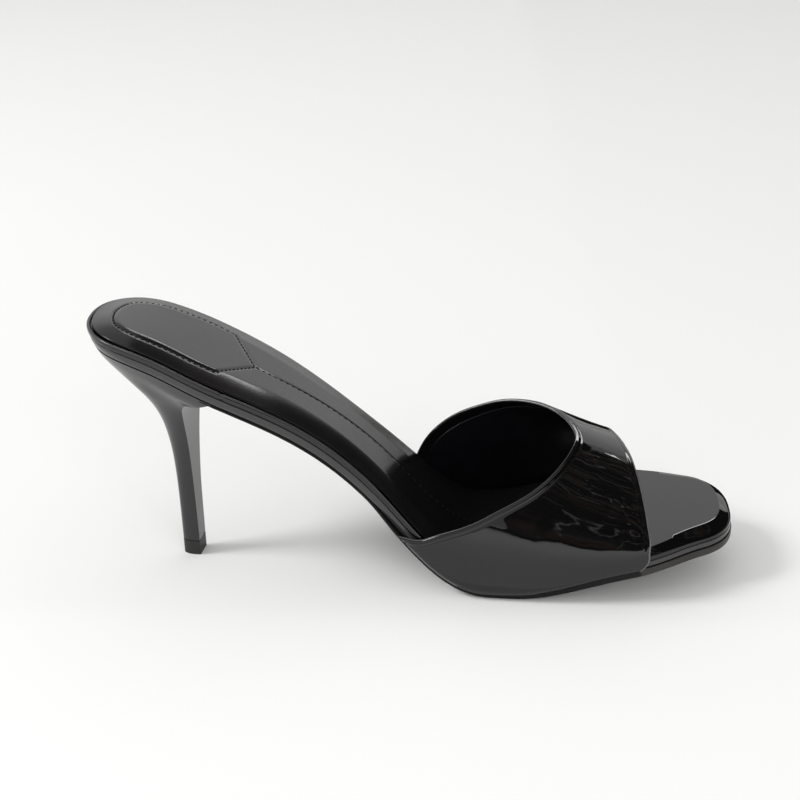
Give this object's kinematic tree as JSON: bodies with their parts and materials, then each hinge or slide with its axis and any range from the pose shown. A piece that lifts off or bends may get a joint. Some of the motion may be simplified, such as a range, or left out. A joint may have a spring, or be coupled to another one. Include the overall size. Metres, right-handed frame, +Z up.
{
  "type": "heeled sandal",
  "caption": "Backless high-heeled sandal with a wide patent vamp, an open square toe, a padded sock and a slim covered heel.",
  "frame": {"origin": "on the floor under the middle of the shoe's bounding box", "axes": "+X from the heel to the toe, +Y to the inner side of the foot, +Z up"},
  "size_m": [0.2254, 0.0752, 0.0951],
  "materials": {
    "patent": "high gloss patent",
    "sock_leather": "semi-matte",
    "heel_cover": "satin patent cover over moulded plastic",
    "sole": "semi-matte",
    "top_piece": "matte"
  },
  "bodies": {
    "root": {"outsole": "sole", "midsole": "patent", "insole": "patent", "binding": "patent", "sock": "sock_leather", "upper": "patent", "heel": "heel_cover", "heel_tip": "top_piece"}
  },
  "joints": []
}
